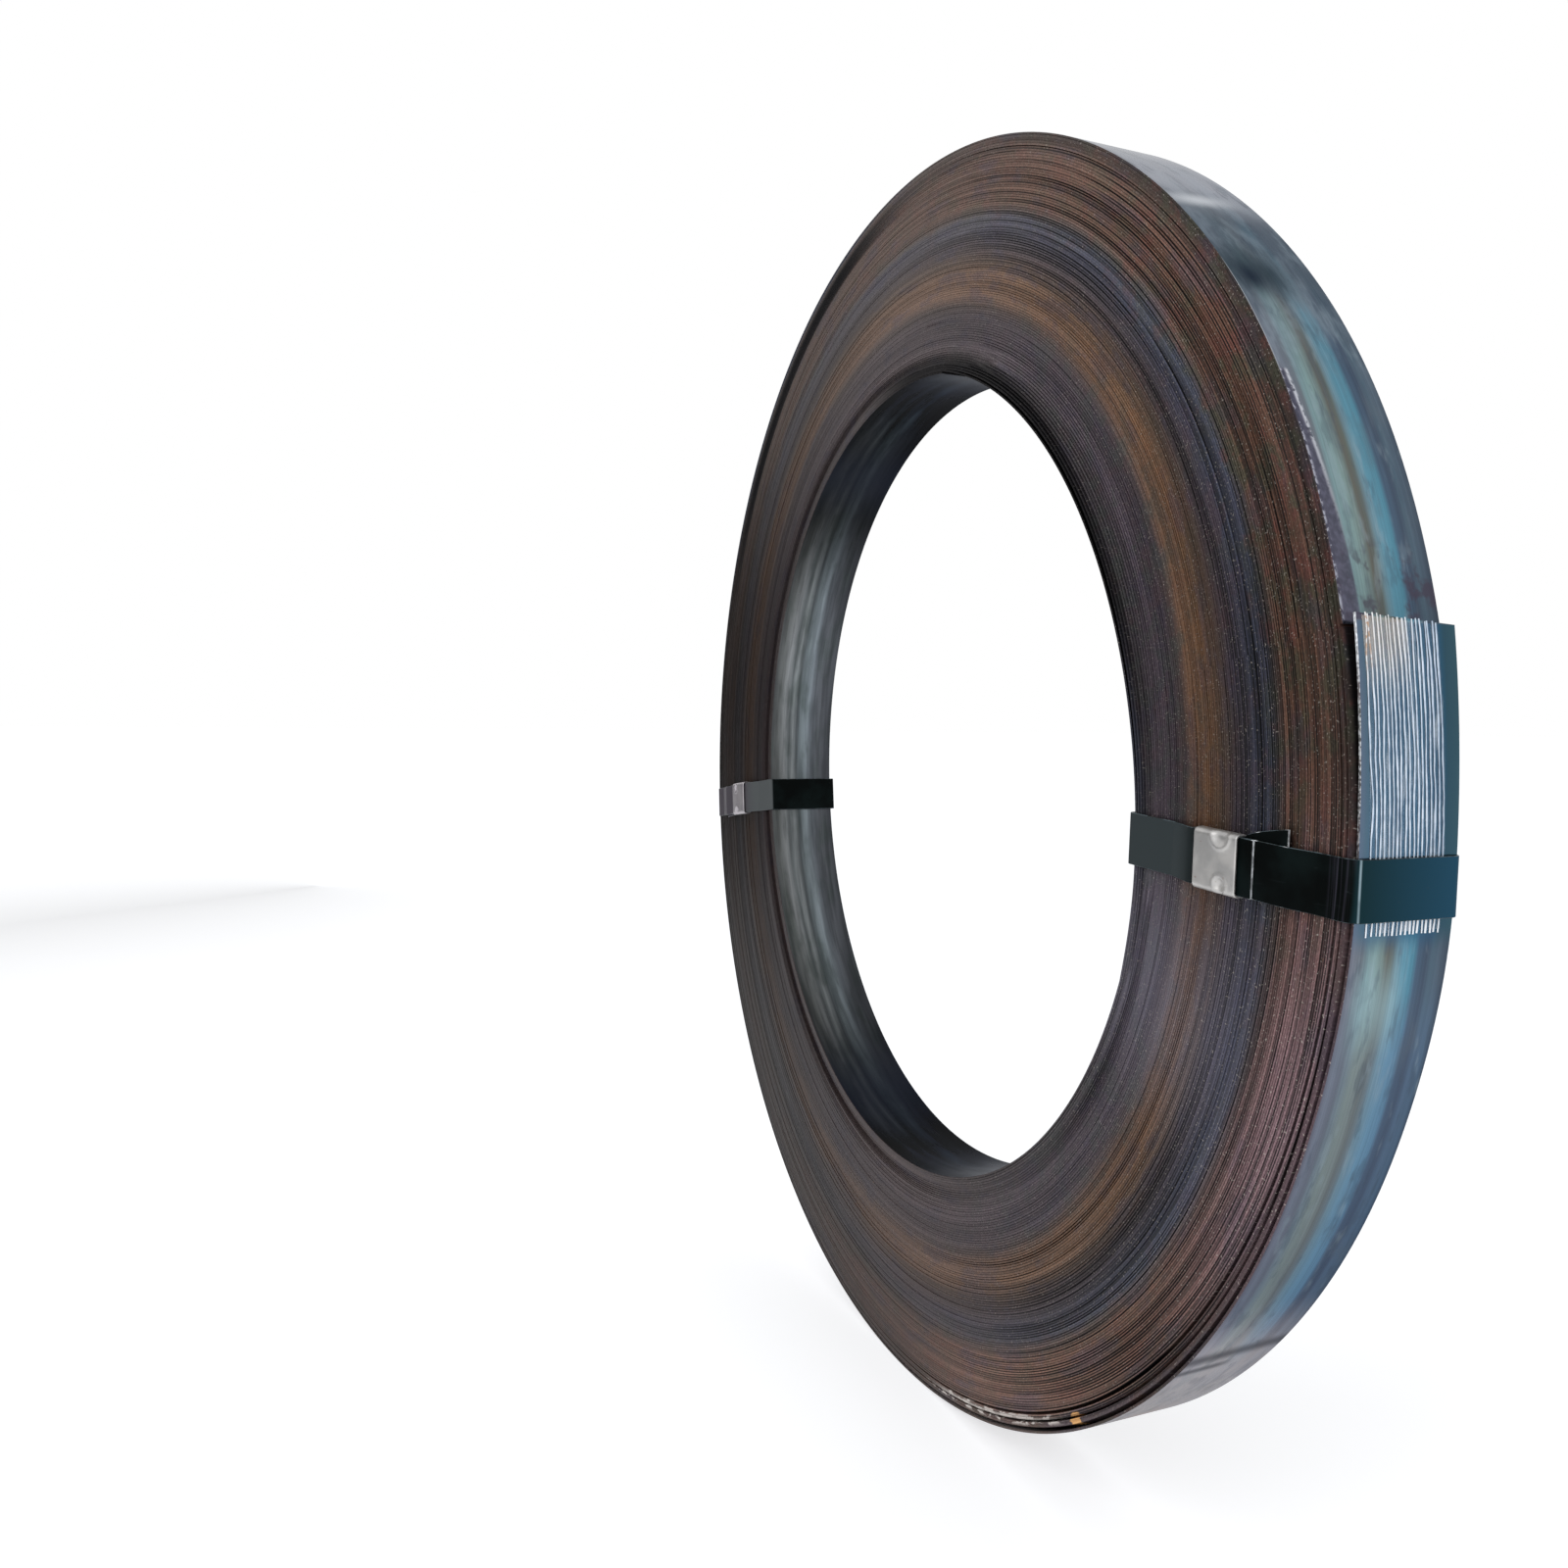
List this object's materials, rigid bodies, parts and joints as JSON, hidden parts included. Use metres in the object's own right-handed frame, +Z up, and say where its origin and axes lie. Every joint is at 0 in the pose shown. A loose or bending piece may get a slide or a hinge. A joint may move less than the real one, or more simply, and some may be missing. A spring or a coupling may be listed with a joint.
{
  "type": "steel strapping coil",
  "caption": "Blued steel strapping wound into a flat ring-shaped coil, tied across its section by black steel straps with crimped seals, its outer end taped down.",
  "frame": {"origin": "middle of the rim's lowest flat, where the upright coil stands on the floor", "axes": "+Z up across the ring, +Y along the coil's axis away from the end that carries the seals, +X to the side where the strap's outer end is taped"},
  "size_m": [0.4695, 0.0386, 0.4678],
  "materials": {
    "blued_steel": "heat-blued, purple-brown to navy, glossy on the strap's face",
    "black_binding_steel": "black painted, satin",
    "zinc_plated_steel": "zinc-grey, dull",
    "glass_filament_tape": "clear film with white glass filaments"
  },
  "bodies": {
    "root": {"strap_coil": "blued_steel", "binding_strap_right": "black_binding_steel", "binding_strap_left": "black_binding_steel", "seal_right": "zinc_plated_steel", "seal_left": "zinc_plated_steel", "filament_tape": "glass_filament_tape"}
  },
  "joints": []
}
